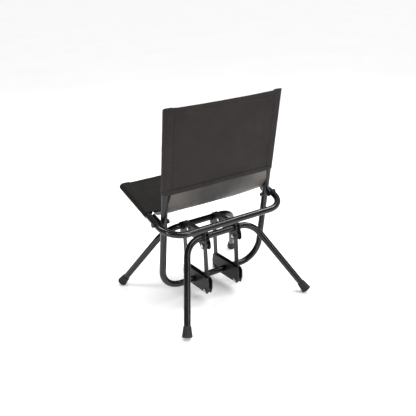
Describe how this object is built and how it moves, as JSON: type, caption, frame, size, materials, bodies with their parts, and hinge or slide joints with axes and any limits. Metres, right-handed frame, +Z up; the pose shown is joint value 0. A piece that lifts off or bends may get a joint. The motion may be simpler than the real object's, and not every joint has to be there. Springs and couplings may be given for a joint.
{
  "type": "folding sling chair",
  "caption": "Folding sling chair for outdoor use: a seat hoop and a back hoop crossing at side pivots, on splayed leg hoops joined by link towers.",
  "frame": {"origin": "on the floor under the middle of the chair, halfway between left and right and between the front and rear feet, with the side pivots about 55 mm behind it", "axes": "+X is the sitter's right, +Y is the way the sitter faces, +Z is up"},
  "size_m": [0.5254, 0.4878, 0.7042],
  "materials": {
    "tube": "gloss black powder coat",
    "bracket": "satin black powder coat",
    "hardware": "zinc plated",
    "plug": "matte",
    "foot": "matte",
    "sling": "woven polyester"
  },
  "bodies": {
    "back_frame": {"back_hoop": "tube", "back_plug_l": "plug", "back_plug_r": "plug", "back_sling": "sling", "lower_bracket_l": "bracket", "pivot_bolt_l": "hardware", "pivot_spacer_l": "plug", "rear_low_bolt_l": "hardware", "front_low_bolt_l": "hardware", "lower_bracket_r": "bracket", "pivot_bolt_r": "hardware", "pivot_spacer_r": "plug", "rear_low_bolt_r": "hardware", "front_low_bolt_r": "hardware"},
    "seat_frame": {"seat_hoop": "tube", "seat_front_bar": "tube", "seat_plug_l": "plug", "seat_plug_r": "plug", "seat_sling": "sling", "hinge_plate_l": "bracket", "hinge_rivets_l": "hardware", "hinge_plate_r": "bracket", "hinge_rivets_r": "hardware"},
    "rear_links": {"rear_link_l": "bracket", "rear_link_r": "bracket"},
    "front_links": {"front_link_l": "bracket", "front_link_r": "bracket"},
    "top_brackets": {"top_bracket_l": "bracket", "bracket_tie_l": "hardware", "rear_top_bolt_l": "hardware", "front_top_bolt_l": "hardware", "top_bracket_r": "bracket", "bracket_tie_r": "hardware", "rear_top_bolt_r": "hardware", "front_top_bolt_r": "hardware"},
    "rear_legs": {"rear_leg_hoop": "tube", "rear_collars": "bracket", "rear_foot_l": "foot", "rear_foot_r": "foot"},
    "front_legs": {"front_leg_hoop": "tube", "front_collars": "bracket", "front_foot_l": "foot", "front_foot_r": "foot"}
  },
  "joints": [
    {"name": "seat_fold", "type": "hinge", "parent": "back_frame", "child": "seat_frame", "pos_m": [0, -0.05521, 0.32923], "axis": [1, 0, 0], "range_deg": [0, 64]},
    {"name": "rear_link_swing", "type": "hinge", "parent": "back_frame", "child": "rear_links", "pos_m": [0, -0.069, 0.043], "axis": [1, 0, 0], "range_deg": [-16, 0]},
    {"name": "front_link_swing", "type": "hinge", "parent": "back_frame", "child": "front_links", "pos_m": [0, 0.063, 0.043], "axis": [1, 0, 0], "range_deg": [-16, 0]},
    {"name": "top_bracket_swing", "type": "hinge", "parent": "rear_links", "child": "top_brackets", "pos_m": [0, -0.069, 0.213], "axis": [1, 0, 0], "range_deg": [0, 16]},
    {"name": "rear_legs_fold", "type": "hinge", "parent": "top_brackets", "child": "rear_legs", "pos_m": [0, -0.069, 0.244], "axis": [1, 0, 0], "range_deg": [0, 25]},
    {"name": "front_legs_fold", "type": "hinge", "parent": "top_brackets", "child": "front_legs", "pos_m": [0, 0.063, 0.244], "axis": [-1, 0, 0], "range_deg": [0, 35]}
  ],
  "couplings": [
    {"joint": "rear_link_swing", "follows": "seat_fold", "ratio": -0.25},
    {"joint": "front_link_swing", "follows": "seat_fold", "ratio": -0.25},
    {"joint": "top_bracket_swing", "follows": "seat_fold", "ratio": 0.25}
  ]
}
